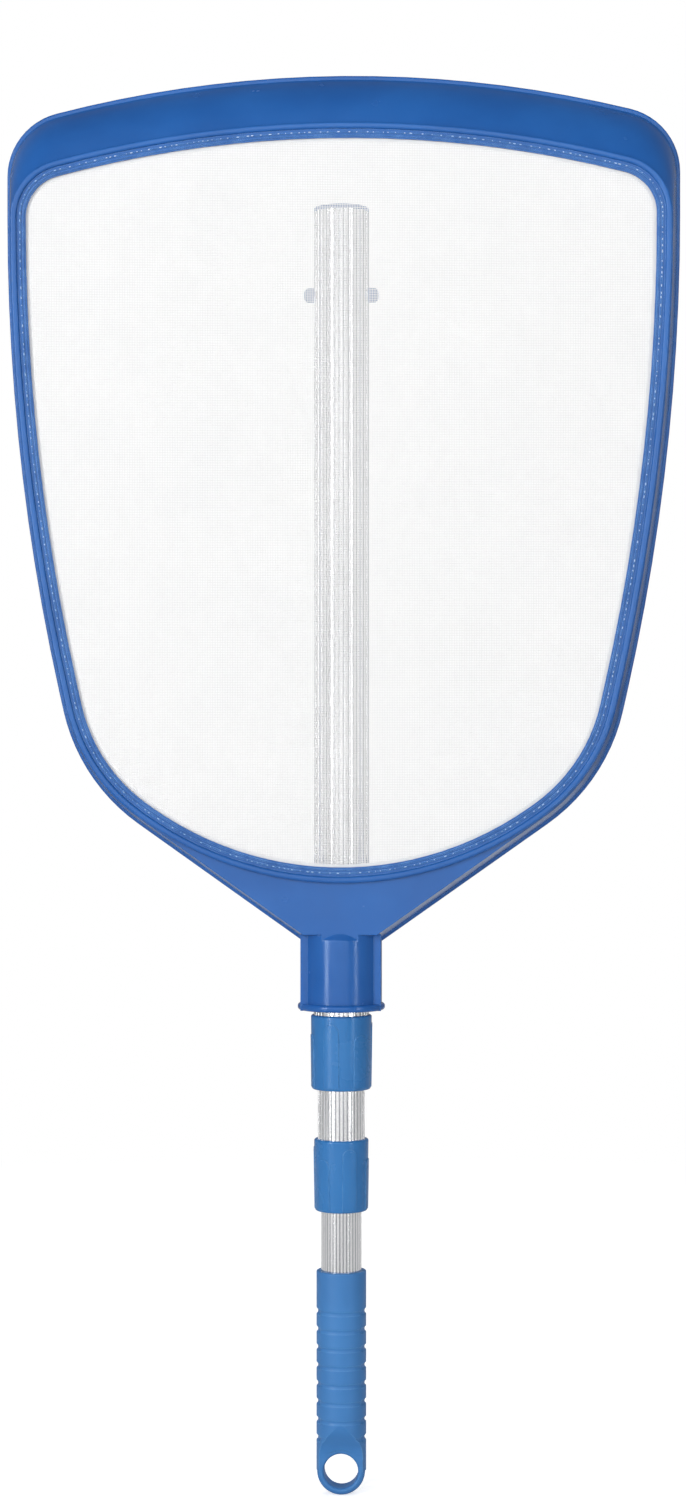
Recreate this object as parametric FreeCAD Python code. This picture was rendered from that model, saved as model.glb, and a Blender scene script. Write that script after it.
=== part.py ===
import FreeCAD, Part
import math
import os

# Leaf skimmer net with a three-tube telescopic pole, in millimetres.
# +Z runs along the pole from the hanging eye to the net, X across the net, and -Y is the side the net faces.
# The origin is the centre of the hanging eye, and the pole's axis is the Z axis.

# Fits between pieces
slide_gap = 0.3
press_gap = 0.05
stop_gap = 0.3
end_round = 0.8
edge_round = 0.3

# Pole tubes
tube_wall = 1.0
tube_3_radius = 11.0
tube_2_room = 0.8
tube_1_room = 1.2
tube_flute_count = 36
tube_flute_depth = 0.3
tube_crest_share = 0.55
tube_3_exposed = 32.6
tube_2_exposed = 27.0
tube_1_exposed = 2.7
tip_below_crown = 44.7

# Hanging eye and grip
eye_radius = 9.3
eye_rim = 3.75
eye_thickness = 13.0
eye_edge_round = 2.6
eye_mouth_round = 1.5
eye_bridge = 2.2
neck_rise = 12.0
neck_round = 16.0
neck_floor = 3.0
grip_wall = 2.55
grip_top_height = 108.4
grip_edge_round = 0.8
grip_first_groove_drop = 22.0
grip_last_groove_height = 17.0
grip_groove_pitch = 9.8
grip_groove_depth = 0.35
grip_groove_radius = 2.2
grip_notch_depth = 0.9
grip_notch_angle = 34.0
handle_plug_length = 12.0
handle_plug_flange = 1.5

# Twist collars
collar_1_length = 40.5
collar_1_top_wall = 1.6
collar_1_low_wall = 1.1
collar_1_panel_turn = -17.7
collar_2_length = 39.1
collar_2_top_wall = 2.05
collar_2_low_wall = 1.5
collar_2_panel_turn = 20.3
collar_lip = 5.0
collar_edge_round = 1.2
collar_panel_count = 6
collar_panel_angle = 30.0
collar_panel_raise = 0.35
collar_tall_panel_drop = 4.5
collar_short_panel_drop = 10.5
guide_bush_length = 57.0

# Twist locks at the upper end of each inner tube
plug_length = 25.0
plug_flange = 2.0
plug_pin_radius = 1.5
plug_pin_drop = 12.0
plug_pin_recess = 0.3
lock_ring_length = 21.0
lock_ring_slack = 0.6
lock_ring_slit = 2.0
lock_ring_groove_count = 3
lock_ring_groove_depth = 0.8
spindle_2_radius = 5.0
spindle_2_offset = 1.0
spindle_3_radius = 4.0
spindle_3_offset = 0.8
washer_overlap = 2.4
washer_thickness = 1.5
screw_radius = 2.0
screw_head_radius = 4.0
screw_head_height = 3.0
screw_length = 14.0
screw_slot_length = 4.8
screw_slot_width = 1.0
screw_slot_depth = 1.5

# Snap buttons and pole tip
button_radius = 4.0
button_stand_out = 5.2
button_drop = 45.0
button_dome = 2.8
button_head = 0.5
button_head_thickness = 1.0
tip_plug_floor = 4.0
tip_plug_roof = 8.0
tip_flange = 2.5
tip_round = 1.0
spring_strip = 0.8
spring_width = 8.0
spring_foot = 5.0
spring_foot_room = 1.0
spring_bend_half_width = 4.4
spring_bend_radius = 3.5
spring_knee_radius = 3.0

# Socket
socket_bore_gap = 0.4
socket_wall = 5.1
socket_shoulder_height = 44.2
socket_shoulder_drop = 5.5
socket_shoulder_inset = 4.0
socket_shoulder_round = 2.0
socket_inner_rise = 17.8
socket_rail_wall = 1.2
socket_rail_half_width = 10.3
socket_flange_reach = 3.25
socket_flange_thickness = 3.8
socket_flange_round = 1.6
socket_hole_height = 18.0
socket_hole_gap = 0.5

# Net frame, with heights above the socket's lower end
seat_gap = 0.5
seat_thickness = 2.5
tray_depth = 32.0
tray_wall = 2.2
neck_slope = 35.3
neck_height = 42.9
neck_bite = 0.5
front_crown_height = 478.6
top_radius = 652.0
front_fall_angle = 14.5
front_half_width = 178.9
front_corner_radius = 32.8
front_knee_drop = 178.5
side_lean = 12.6
side_radius = 1186.0
front_lower_radius = 98.5
crease_depth = 10.0
crease_rise = 15.1
rear_rise = 31.4
rear_fall_gain = -0.5
rear_spread = 4.7
rear_corner_gain = 1.7
rear_knee_rise = 1.8
rear_flare = 4.0
rim_thickness = 3.0
rim_outreach = 1.2
rim_round = 1.0

# Retaining hoop and net
hoop_step = 0.4
hoop_width = 8.5
hoop_floor_radius = 176.0
hoop_base = 1.4
hoop_bead_height = 3.0
hoop_bead_width = 3.6
hoop_bead_round = 1.3
hoop_ridge_width = 0.8
hoop_ridge_height = 0.5
hoop_ridge_pitch = 1.8
hoop_ridge_setback = 0.9
hoop_ridge_count = 2
net_thickness = 0.3
net_edge_cover = 2.4
net_cell = 21.0
net_strand = 1.5

# Radii across the pole
tube_2_radius = tube_3_radius + tube_2_room + tube_wall
tube_1_radius = tube_2_radius + tube_1_room + tube_wall
tube_1_bore = tube_1_radius - tube_wall
tube_3_bore = tube_3_radius - tube_wall
grip_radius = tube_3_radius + grip_wall
button_tip_radius = tube_1_radius + button_stand_out
socket_bore = tube_1_radius + socket_bore_gap
socket_radius = socket_bore + socket_wall
groove_reach = button_tip_radius + socket_bore_gap
socket_rail_reach = groove_reach + socket_rail_wall
front_face = -(tube_1_radius + seat_gap + seat_thickness)
rear_face = front_face + tray_depth

# Heights along the pole
neck_start_height = eye_radius + eye_bridge
grip_seat_height = neck_start_height + neck_rise + neck_floor
tube_3_base = grip_seat_height + handle_plug_flange
collar_2_base = grip_top_height + tube_3_exposed
collar_2_top = collar_2_base + collar_2_length
tube_2_base = collar_2_base + collar_lip
collar_1_base = collar_2_top + tube_2_exposed
collar_1_top = collar_1_base + collar_1_length
tube_1_base = collar_1_base + collar_lip
socket_base = collar_1_top + tube_1_exposed
tube_1_top = socket_base + front_crown_height - tip_below_crown
button_height = tube_1_top - button_drop
tip_plug_base = button_height - spring_foot - spring_foot_room - tip_plug_floor
lock_stack = plug_flange + 2 * stop_gap + lock_ring_length + washer_thickness + screw_head_height
tube_2_top = tip_plug_base - stop_gap - lock_stack
tube_3_top = tube_2_top - plug_length - stop_gap - lock_stack


def point(x, y, z):
    return FreeCAD.Vector(x, y, z)


def inset_corners(corners, inset):
    # Moves each side of a convex outline inwards by the inset, and its corner radii with it.
    centre_x = sum(c[0] for c in corners) / len(corners)
    centre_z = sum(c[1] for c in corners) / len(corners)
    lines = []
    for start, end in zip(corners, corners[1:] + corners[:1]):
        run_x = end[0] - start[0]
        run_z = end[1] - start[1]
        length = math.hypot(run_x, run_z)
        run_x /= length
        run_z /= length
        normal_x, normal_z = -run_z, run_x
        if (centre_x - start[0]) * normal_x + (centre_z - start[1]) * normal_z < 0:
            normal_x, normal_z = run_z, -run_x
        lines.append((start[0] + normal_x * inset, start[1] + normal_z * inset, run_x, run_z))
    moved = []
    for corner, before, after in zip(corners, lines[-1:] + lines[:-1], lines):
        cross = before[2] * after[3] - before[3] * after[2]
        along = ((after[0] - before[0]) * after[3] - (after[1] - before[1]) * after[2]) / cross
        radius = max(corner[2] - inset, 0.0) if corner[2] else 0.0
        moved.append((before[0] + before[2] * along, before[1] + before[3] * along, radius))
    return moved


def outline(corners, y=0.0, inset=0.0):
    # A closed outline in an XZ plane, of straight sides joined by tangent arcs, from (x, z, radius) corners.
    # An arc that its two sides have no room for is made smaller.
    if inset:
        corners = inset_corners(corners, inset)
    places = [point(x, y, z) for x, z, radius in corners]
    sides = [after - before for before, after in zip(places, places[1:] + places[:1])]
    turns = [sides[i - 1].getAngle(sides[i]) for i in range(len(sides))]
    reaches = [corner[2] * math.tan(turn / 2) for corner, turn in zip(corners, turns)]
    room = [
        side.Length * 0.999 / max(here + following, 1e-9)
        for side, here, following in zip(sides, reaches, reaches[1:] + reaches[:1])
    ]
    bends = []
    for i, (x, z, radius) in enumerate(corners):
        radius *= min(1.0, room[i - 1], room[i])
        if radius < 1e-6 or turns[i] < 1e-6:
            bends.append((places[i], None, places[i]))
            continue
        before = point(*sides[i - 1]).normalize()
        after = point(*sides[i]).normalize()
        reach = radius * math.tan(turns[i] / 2)
        inwards = (after - before).normalize()
        middle = places[i] + inwards * (radius / math.cos(turns[i] / 2) - radius)
        bends.append((places[i] - before * reach, middle, places[i] + after * reach))
    edges = []
    for i, (start, middle, end) in enumerate(bends):
        if middle is not None:
            edges.append(Part.Arc(start, middle, end).toShape())
        following = bends[(i + 1) % len(bends)][0]
        if (following - end).Length > 1e-6:
            edges.append(Part.LineSegment(end, following).toShape())
    return Part.Wire(edges)


def plate(wires, depth):
    # A flat piece between an outer outline and any holes in it, going back by the depth.
    return Part.makeFace(wires, "Part::FaceMakerBullseye").extrude(point(0, depth, 0))


def turned(profile):
    # A solid of revolution about the pole's axis from (radius, height, rounding) corners.
    return Part.Face(outline(profile)).revolve(point(0, 0, 0), point(0, 0, 1), 360)


def rod(radius, start, end):
    return Part.makeCylinder(radius, (end - start).Length, start, end - start)


def block(low, high):
    return Part.makeBox(high[0] - low[0], high[1] - low[1], high[2] - low[2], point(*low))


def edges_at(shape, y):
    return [e for e in shape.Edges if abs(e.CenterOfMass.y - y) < 1e-3]


def save(node, shape):
    shape = shape.removeSplitter()
    solids = shape.Solids
    if len(solids) == 1:
        shape = solids[0]
    state = "valid" if shape.isValid() else "INVALID"
    print(node, len(solids), "solid", round(shape.Volume, 1), "mm3", state)
    shape.exportStep(f"parts/{node}.step")


os.makedirs("parts", exist_ok=True)

# Tubes
# Each tube is drawn with shallow flutes along its outside, so that wet hands don't slip when it is twisted.


def fluted_tube(radius, base, top):
    step = 2 * math.pi / tube_flute_count
    shares = (0, tube_crest_share / 2, tube_crest_share, (1 + tube_crest_share) / 2, 1)
    reaches = (radius, radius, radius, radius - tube_flute_depth, radius)
    edges = []
    for i in range(tube_flute_count):
        p = []
        for share_along, reach in zip(shares, reaches):
            angle = step * (i + share_along)
            p.append(point(reach * math.cos(angle), reach * math.sin(angle), base))
        edges.append(Part.Arc(p[0], p[1], p[2]).toShape())
        edges.append(Part.Arc(p[2], p[3], p[4]).toShape())
    bore = Part.Wire([Part.makeCircle(radius - tube_wall, point(0, 0, base))])
    face = Part.makeFace([Part.Wire(edges), bore], "Part::FaceMakerBullseye")
    return face.extrude(point(0, 0, top - base))


def cross_pin_hole(tube_top, radius):
    height = tube_top - plug_pin_drop
    return rod(plug_pin_radius, point(0, -radius, height), point(0, radius, height))


button_hole = rod(
    button_radius + slide_gap,
    point(-tube_1_radius, 0, button_height),
    point(tube_1_radius, 0, button_height),
)
inner_tube_2 = fluted_tube(tube_2_radius, tube_2_base, tube_2_top)
inner_tube_3 = fluted_tube(tube_3_radius, tube_3_base, tube_3_top)
save("tube_1", fluted_tube(tube_1_radius, tube_1_base, tube_1_top).cut(button_hole))
save("tube_2", inner_tube_2.cut(cross_pin_hole(tube_2_top, tube_2_radius)))
save("tube_3", inner_tube_3.cut(cross_pin_hole(tube_3_top, tube_3_radius)))


# Twist collars
# A collar is pressed on the lower end of an outer tube. Its lip guides the inner tube,
# and its raised panels, tall and short in turn, are held to twist it.

def twist_collar(base, length, top_wall, low_wall, outer_tube, inner_tube, panel_turn):
    top = base + length
    top_radius = outer_tube + top_wall
    low_radius = outer_tube + low_wall
    seat = outer_tube + press_gap
    lip_bore = inner_tube + slide_gap
    body = turned([
        (lip_bore, base, 0),
        (low_radius, base, collar_edge_round),
        (top_radius, top, collar_edge_round),
        (seat, top, 0),
        (seat, base + collar_lip, 0),
        (lip_bore, base + collar_lip, 0),
    ])
    panel_low = base + collar_edge_round
    panel_high = top - collar_tall_panel_drop / 2
    raised = turned([
        (seat + press_gap, panel_low, 0),
        (low_radius + collar_panel_raise, panel_low, edge_round),
        (top_radius + collar_panel_raise, panel_high, edge_round),
        (seat + press_gap, panel_high, 0),
    ])
    half_width = top_radius * math.sin(math.radians(collar_panel_angle / 2))
    panels = []
    for i in range(collar_panel_count):
        drop = collar_short_panel_drop if i % 2 else collar_tall_panel_drop
        arch = plate([outline([
            (-half_width, base, 0),
            (half_width, base, 0),
            (half_width, top - drop, half_width),
            (-half_width, top - drop, half_width),
        ])], -2 * top_radius)
        panel = raised.common(arch)
        panel.rotate(point(0, 0, 0), point(0, 0, 1), panel_turn + 360.0 / collar_panel_count * i)
        panels.append(panel)
    return body.fuse(panels)


def guide_bush(tube_base, outer_tube, inner_tube):
    return turned([
        (inner_tube + slide_gap, tube_base, 0),
        (outer_tube - tube_wall - press_gap, tube_base, 0),
        (outer_tube - tube_wall - press_gap, tube_base + guide_bush_length, 0),
        (inner_tube + slide_gap, tube_base + guide_bush_length, 0),
    ])


save(
    "collar_1",
    twist_collar(
        collar_1_base, collar_1_length, collar_1_top_wall, collar_1_low_wall,
        tube_1_radius, tube_2_radius, collar_1_panel_turn,
    ),
)
save(
    "collar_2",
    twist_collar(
        collar_2_base, collar_2_length, collar_2_top_wall, collar_2_low_wall,
        tube_2_radius, tube_3_radius, collar_2_panel_turn,
    ),
)
save("guide_bush_1", guide_bush(tube_1_base, tube_1_radius, tube_2_radius))
save("guide_bush_2", guide_bush(tube_2_base, tube_2_radius, tube_3_radius))


# Twist locks
# A plug in the inner tube carries an off-centre spindle. Turning the tube swings the spindle inside a slit
# ring, which spreads against the outer tube's bore. A washer and a screw keep the ring on the spindle.

def twist_lock(number, tube_radius, tube_top, outer_radius, spindle_radius, spindle_offset):
    bore = tube_radius - tube_wall
    flange_top = tube_top + plug_flange
    ring_base = flange_top + stop_gap
    ring_top = ring_base + lock_ring_length
    washer_base = ring_top + stop_gap
    head_base = washer_base + washer_thickness
    screw_top = head_base + screw_head_height
    spindle_foot = point(spindle_offset, 0, flange_top)
    shank_tip = point(spindle_offset, 0, head_base - screw_length)
    washer_low = point(spindle_offset, 0, washer_base)
    washer_high = point(spindle_offset, 0, head_base)
    screw_end = point(spindle_offset, 0, screw_top)

    plug = turned([
        (0, tube_top - plug_length, 0),
        (bore - press_gap, tube_top - plug_length, end_round),
        (bore - press_gap, tube_top, 0),
        (tube_radius - press_gap, tube_top, 0),
        (tube_radius - press_gap, flange_top, edge_round),
        (0, flange_top, 0),
    ])
    plug = plug.fuse(rod(spindle_radius, spindle_foot, washer_low))
    plug = plug.cut(rod(screw_radius, shank_tip, washer_low))
    save(f"cam_plug_{number}", plug.cut(cross_pin_hole(tube_top, tube_radius)))

    pin_height = tube_top - plug_pin_drop
    pin_reach = tube_radius - plug_pin_recess - tube_flute_depth
    pin = rod(plug_pin_radius - press_gap, point(0, -pin_reach, pin_height), point(0, pin_reach, pin_height))
    save(f"plug_pin_{number}", pin)

    ring_radius = outer_radius - tube_wall - lock_ring_slack
    ring_bore = spindle_radius + spindle_offset + slide_gap
    ring = turned([
        (ring_bore, ring_base, 0),
        (ring_radius, ring_base, end_round),
        (ring_radius, ring_top, end_round),
        (ring_bore, ring_top, 0),
    ])
    half_slit = lock_ring_slit / 2
    ring = ring.cut(block((-half_slit, 0, ring_base), (half_slit, outer_radius, ring_top)))
    for i in range(lock_ring_groove_count):
        groove = block(
            (-half_slit, ring_radius - lock_ring_groove_depth, ring_base),
            (half_slit, outer_radius, ring_top),
        )
        groove.rotate(point(0, 0, 0), point(0, 0, 1), 360.0 / (lock_ring_groove_count + 1) * (i + 1))
        ring = ring.cut(groove)
    save(f"lock_ring_{number}", ring)

    washer = rod(ring_bore + washer_overlap, washer_low, washer_high)
    save(f"lock_washer_{number}", washer.cut(rod(screw_radius + press_gap, washer_low, washer_high)))

    screw = rod(screw_head_radius, washer_high, screw_end)
    screw = screw.fuse(rod(screw_radius - press_gap, shank_tip, washer_high))
    for across, deep in ((screw_slot_length, screw_slot_width), (screw_slot_width, screw_slot_length)):
        screw = screw.cut(block(
            (spindle_offset - across / 2, -deep / 2, screw_top - screw_slot_depth),
            (spindle_offset + across / 2, deep / 2, screw_top),
        ))
    save(f"lock_screw_{number}", screw)


twist_lock(2, tube_2_radius, tube_2_top, tube_1_radius, spindle_2_radius, spindle_2_offset)
twist_lock(3, tube_3_radius, tube_3_top, tube_2_radius, spindle_3_radius, spindle_3_offset)


# Pole tip
# The tip plug closes tube 1. It holds the bent strip spring that pushes the two snap buttons out.

button_head_radius = button_radius + button_head
slot_half = max(spring_width / 2, button_head_radius) + slide_gap
slot_low = tip_plug_base + tip_plug_floor
slot_high = tube_1_top - tip_plug_roof
tip_plug = turned([
    (0, tip_plug_base, 0),
    (tube_1_bore - press_gap, tip_plug_base, end_round),
    (tube_1_bore - press_gap, tube_1_top, 0),
    (tube_1_radius, tube_1_top, 0),
    (tube_1_radius, tube_1_top + tip_flange, tip_round),
    (0, tube_1_top + tip_flange, 0),
])
spring_slot = block((-tube_1_radius, -slot_half, slot_low), (tube_1_radius, slot_half, slot_high))
save("tip_plug", tip_plug.cut(spring_slot))

head_outer = math.sqrt(tube_1_bore ** 2 - button_head_radius ** 2) - slide_gap
head_inner = head_outer - button_head_thickness


def snap_button(side):
    button = turned([
        (0, head_inner, 0),
        (button_head_radius, head_inner, edge_round),
        (button_head_radius, head_outer, edge_round),
        (button_radius, head_outer, 0),
        (button_radius, button_tip_radius, button_dome),
        (0, button_tip_radius, 0),
    ])
    button.rotate(point(0, 0, 0), point(0, 1, 0), 90 * side)
    button.translate(point(0, 0, button_height))
    return button


save("snap_button_right", snap_button(1))
save("snap_button_left", snap_button(-1))

# The spring's right half from the foot up to the bend, first its outer side and then its inner side.
spring_reach = head_inner - press_gap
foot_low = button_height - spring_foot
foot_high = button_height + spring_foot
bend_top = slot_high - stop_gap
spring_outside = [
    (spring_reach, foot_low, 0),
    (spring_reach, foot_high, spring_knee_radius),
    (spring_bend_half_width, bend_top, spring_bend_radius),
]
spring_inside = [
    (spring_reach - spring_strip, foot_low, 0),
    (spring_reach - spring_strip, foot_high, spring_knee_radius - spring_strip),
    (spring_bend_half_width - spring_strip, bend_top - spring_strip, spring_bend_radius - spring_strip),
]
spring_corners = spring_outside + [(-x, z, r) for x, z, r in reversed(spring_outside)]
spring_corners += [(-x, z, r) for x, z, r in spring_inside] + spring_inside[::-1]
save("button_spring", plate([outline(spring_corners, -spring_width / 2)], spring_width))


# Handle end
# A plug closes tube 3 under the grip. The grip is a soft sleeve that ends in the flattened hanging eye.

save("handle_end_plug", turned([
    (0, grip_seat_height, 0),
    (tube_3_radius - press_gap, grip_seat_height, edge_round),
    (tube_3_radius - press_gap, tube_3_base, 0),
    (tube_3_bore - press_gap, tube_3_base, 0),
    (tube_3_bore - press_gap, tube_3_base + handle_plug_length, end_round),
    (0, tube_3_base + handle_plug_length, 0),
]))

eye_half = eye_thickness / 2
eye_outer = eye_radius + eye_rim
neck_end_height = neck_start_height + neck_rise
sleeve = turned([
    (0, 0, 0),
    (grip_radius, 0, 0),
    (grip_radius, grip_top_height, grip_edge_round),
    (0, grip_top_height, 0),
])
flat_side = [
    (eye_half, -eye_outer, 0),
    (eye_half, neck_start_height, neck_round),
    (grip_radius, neck_end_height, neck_round),
    (grip_radius, grip_top_height, 0),
]
flat_profile = flat_side + [(-y, z, r) for y, z, r in reversed(flat_side)]
flattening = plate([outline(flat_profile, -grip_radius)], 2 * grip_radius)
flattening.rotate(point(0, 0, 0), point(0, 0, 1), 90)
eye_disc = rod(eye_outer, point(0, -eye_half, 0), point(0, eye_half, 0))
eye_disc = eye_disc.makeFillet(eye_edge_round, [e for e in eye_disc.Edges if e.Closed])
eye_mouth = eye_half + eye_mouth_round
eye_hole = turned([
    (0, -eye_mouth, 0),
    (neck_start_height, -eye_mouth, 0),
    (neck_start_height, -eye_half, 0),
    (eye_radius, -eye_half, eye_mouth_round),
    (eye_radius, eye_half, eye_mouth_round),
    (neck_start_height, eye_half, 0),
    (neck_start_height, eye_mouth, 0),
    (0, eye_mouth, 0),
])
eye_hole.rotate(point(0, 0, 0), point(1, 0, 0), 90)
tube_seat = rod(
    tube_3_radius + press_gap,
    point(0, 0, grip_seat_height - press_gap),
    point(0, 0, grip_top_height),
)
grip = sleeve.common(flattening).fuse(eye_disc).cut(eye_hole).cut(tube_seat)


def grip_ring(depth, height):
    centre = grip_radius - depth + grip_groove_radius
    return Part.makeTorus(centre, grip_groove_radius, point(0, 0, height), point(0, 0, 1))


# Shallow finger grooves run round the sleeve, and cut deeper notches into its two sides.
notch_reach = 2 * grip_radius
notch_half = notch_reach * math.tan(math.radians(grip_notch_angle))
side_wedges = []
for side in (-notch_reach, notch_reach):
    wedge = Part.makePolygon([
        point(0, 0, 0),
        point(side, -notch_half, 0),
        point(side, notch_half, 0),
        point(0, 0, 0),
    ])
    side_wedges.append(Part.Face(wedge).extrude(point(0, 0, grip_top_height)))
groove_height = grip_top_height - grip_first_groove_drop
while groove_height > grip_last_groove_height:
    grip = grip.cut(grip_ring(grip_groove_depth, groove_height))
    for wedge in side_wedges:
        grip = grip.cut(grip_ring(grip_notch_depth, groove_height).common(wedge))
    groove_height -= grip_groove_pitch
save("grip", grip)


# Net frame
# One moulding: a shallow tray with a wide scoop lip at the top, whose walls run down into the pole socket.

slope = math.tan(math.radians(neck_slope))
lean = math.tan(math.radians(side_lean))


def head_corners(rise, fall_gain, spread, corner_gain, knee_rise, flare):
    # The tray's outline at one depth, as the front outline with what it gains by that depth.
    # The right half's corners run from the crown down to the socket, and the left half mirrors them.
    fall = math.radians(front_fall_angle + fall_gain)
    half_width = front_half_width + spread
    top = socket_base + front_crown_height + rise + top_radius * (1 / math.cos(fall) - 1)
    knee_height = socket_base + front_crown_height - front_knee_drop + knee_rise
    neck_base = socket_base + neck_height - flare / math.cos(math.radians(neck_slope))
    low_z = neck_base + (half_width - knee_height * lean - socket_rail_reach) * slope
    low_z /= 1 - lean * slope
    low_x = half_width - (knee_height - low_z) * lean
    foot_x = socket_radius - neck_bite
    right = [
        (half_width, top - half_width * math.tan(fall), front_corner_radius + corner_gain),
        (half_width, knee_height, side_radius),
        (low_x, low_z, front_lower_radius + flare),
        (foot_x, neck_base + (foot_x - socket_rail_reach) * slope, 0),
    ]
    left = [(-x, z, r) for x, z, r in reversed(right)]
    return [(0, top, top_radius)] + right + left


depth_share = crease_depth / tray_depth
rear_gains = (rear_fall_gain, rear_spread, rear_corner_gain, rear_knee_rise, rear_flare)
front_corners = head_corners(0, 0, 0, 0, 0, 0)
crease_corners = head_corners(crease_rise, *[gain * depth_share for gain in rear_gains])
rear_corners = head_corners(rear_rise, *rear_gains)


def tray_loft(inset):
    return Part.makeLoft([
        outline(front_corners, front_face, inset),
        outline(crease_corners, front_face + crease_depth, inset),
        outline(rear_corners, rear_face, inset),
    ], True, False)


# The opening that the net covers keeps the frame's sides and closes in one broad arc above the socket.
seat_corners = inset_corners(front_corners, hoop_width + hoop_step)
low_x, low_z, low_radius = seat_corners[3]
opening_corners = seat_corners[:4] + [(0, low_z - low_x * slope, hoop_floor_radius)] + seat_corners[-3:]

rim = plate([outline(rear_corners, rear_face, -rim_outreach)], -rim_thickness)
rim_edges = edges_at(rim, rear_face) + edges_at(rim, rear_face - rim_thickness)
rim = rim.makeFillet(min(rim_round, 0.4 * rim_thickness), rim_edges)
behind_seat = block(
    (-2 * front_half_width, front_face + seat_thickness, socket_base),
    (2 * front_half_width, rear_face, socket_base + 2 * front_crown_height),
)
tray = tray_loft(0).fuse(rim).cut(tray_loft(tray_wall).common(behind_seat))
tray = tray.cut(plate([outline(opening_corners, front_face)], seat_thickness))

shoulder_top = socket_base + socket_shoulder_height
socket_top = shoulder_top + socket_inner_rise
flange = turned([
    (0, socket_base, 0),
    (socket_radius + socket_flange_reach, socket_base, socket_flange_round),
    (socket_radius + socket_flange_reach, socket_base + socket_flange_thickness, socket_flange_round),
    (0, socket_base + socket_flange_thickness, 0),
])
barrel = turned([
    (0, socket_base, 0),
    (socket_radius, socket_base, 0),
    (socket_radius, shoulder_top - socket_shoulder_drop, socket_shoulder_round),
    (socket_radius - socket_shoulder_inset, shoulder_top, socket_shoulder_round),
    (0, shoulder_top, 0),
])
inner_barrel = rod(socket_radius, point(0, 0, shoulder_top - socket_inner_rise), point(0, 0, socket_top))
inner_barrel = inner_barrel.common(block(
    (-socket_radius, front_face, socket_base),
    (socket_radius, socket_radius, socket_top),
))
rails = block(
    (-socket_rail_reach, -socket_rail_half_width, socket_base),
    (socket_rail_reach, socket_rail_half_width, socket_base + neck_height),
)
frame = tray.fuse([flange, barrel, inner_barrel, rails])
frame = frame.cut(rod(socket_bore, point(0, 0, socket_base), point(0, 0, socket_top)))

# Inside the socket two grooves let the snap buttons pass down to the holes that they spring into.
hole_height = socket_base + socket_hole_height
groove_half = button_radius + socket_hole_gap
frame = frame.cut(block((-groove_reach, -groove_half, hole_height), (groove_reach, groove_half, socket_top)))
frame = frame.cut(rod(
    groove_half,
    point(-socket_rail_reach, 0, hole_height),
    point(socket_rail_reach, 0, hole_height),
))
save("head_frame", frame)


# Retaining hoop
# The hoop is welded over the net's edge on the front of the frame. A round bead runs along its outside.

hoop_back = front_face - net_thickness


def hoop_band(start, end, height):
    # A band round the opening, between two distances from the hoop's outer edge.
    return plate([
        outline(opening_corners, hoop_back, start - hoop_width),
        outline(opening_corners, hoop_back, end - hoop_width),
    ], -height)


bead = hoop_band(0, hoop_bead_width, hoop_bead_height)
bead = bead.makeFillet(
    min(hoop_bead_round, 0.45 * hoop_bead_width, 0.9 * hoop_bead_height),
    edges_at(bead, hoop_back - hoop_bead_height),
)
bands = [bead]
for i in range(hoop_ridge_count):
    ridge_end = hoop_width - hoop_ridge_setback - hoop_ridge_pitch * i
    bands.append(hoop_band(ridge_end - hoop_ridge_width, ridge_end, hoop_base + hoop_ridge_height))
save("mesh_hoop", hoop_band(0, hoop_width, hoop_base).fuse(bands))


# Net
# The fine nylon net is stretched flat between frame and hoop, drawn here with far fewer and wider gaps.

net_face = Part.Face(outline(opening_corners, front_face, net_edge_cover - hoop_width))
gap_limit = Part.Face(outline(opening_corners, front_face, net_strand))
net_low = gap_limit.BoundBox.ZMin
columns = math.ceil(gap_limit.BoundBox.XMax / net_cell)
rows = math.ceil((gap_limit.BoundBox.ZMax - net_low) / net_cell)
gap_width = net_cell - net_strand
cells = []
for i in range(-columns, columns):
    for j in range(rows):
        corner = point(i * net_cell + net_strand / 2, front_face, net_low + j * net_cell)
        cells.append(Part.makePlane(gap_width, gap_width, corner, point(0, -1, 0), point(1, 0, 0)))
gap_faces = gap_limit.common(Part.makeCompound(cells)).Faces
gap_faces = [f for f in gap_faces if f.Area > net_strand * net_cell]
net = net_face.cut(Part.makeCompound(gap_faces))
print("net gaps", len(gap_faces))
save("net_mesh", net.Faces[0].extrude(point(0, -net_thickness, 0)))

travel_2 = tube_2_top + plug_flange - tube_1_base - guide_bush_length
travel_3 = tube_3_top + plug_flange - tube_2_base - guide_bush_length
print("tube 1 length", tube_1_top - tube_1_base, "top", tube_1_top, "socket base", socket_base)
print("head slides", -tube_1_exposed + stop_gap, "to", button_height - hole_height)
print("tube 2 slides", travel_2, "tube 3 slides", travel_3)
print("buttons press in", button_tip_radius - socket_bore)
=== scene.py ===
import math
import random

import bmesh
import bpy
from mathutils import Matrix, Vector, noise


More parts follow.
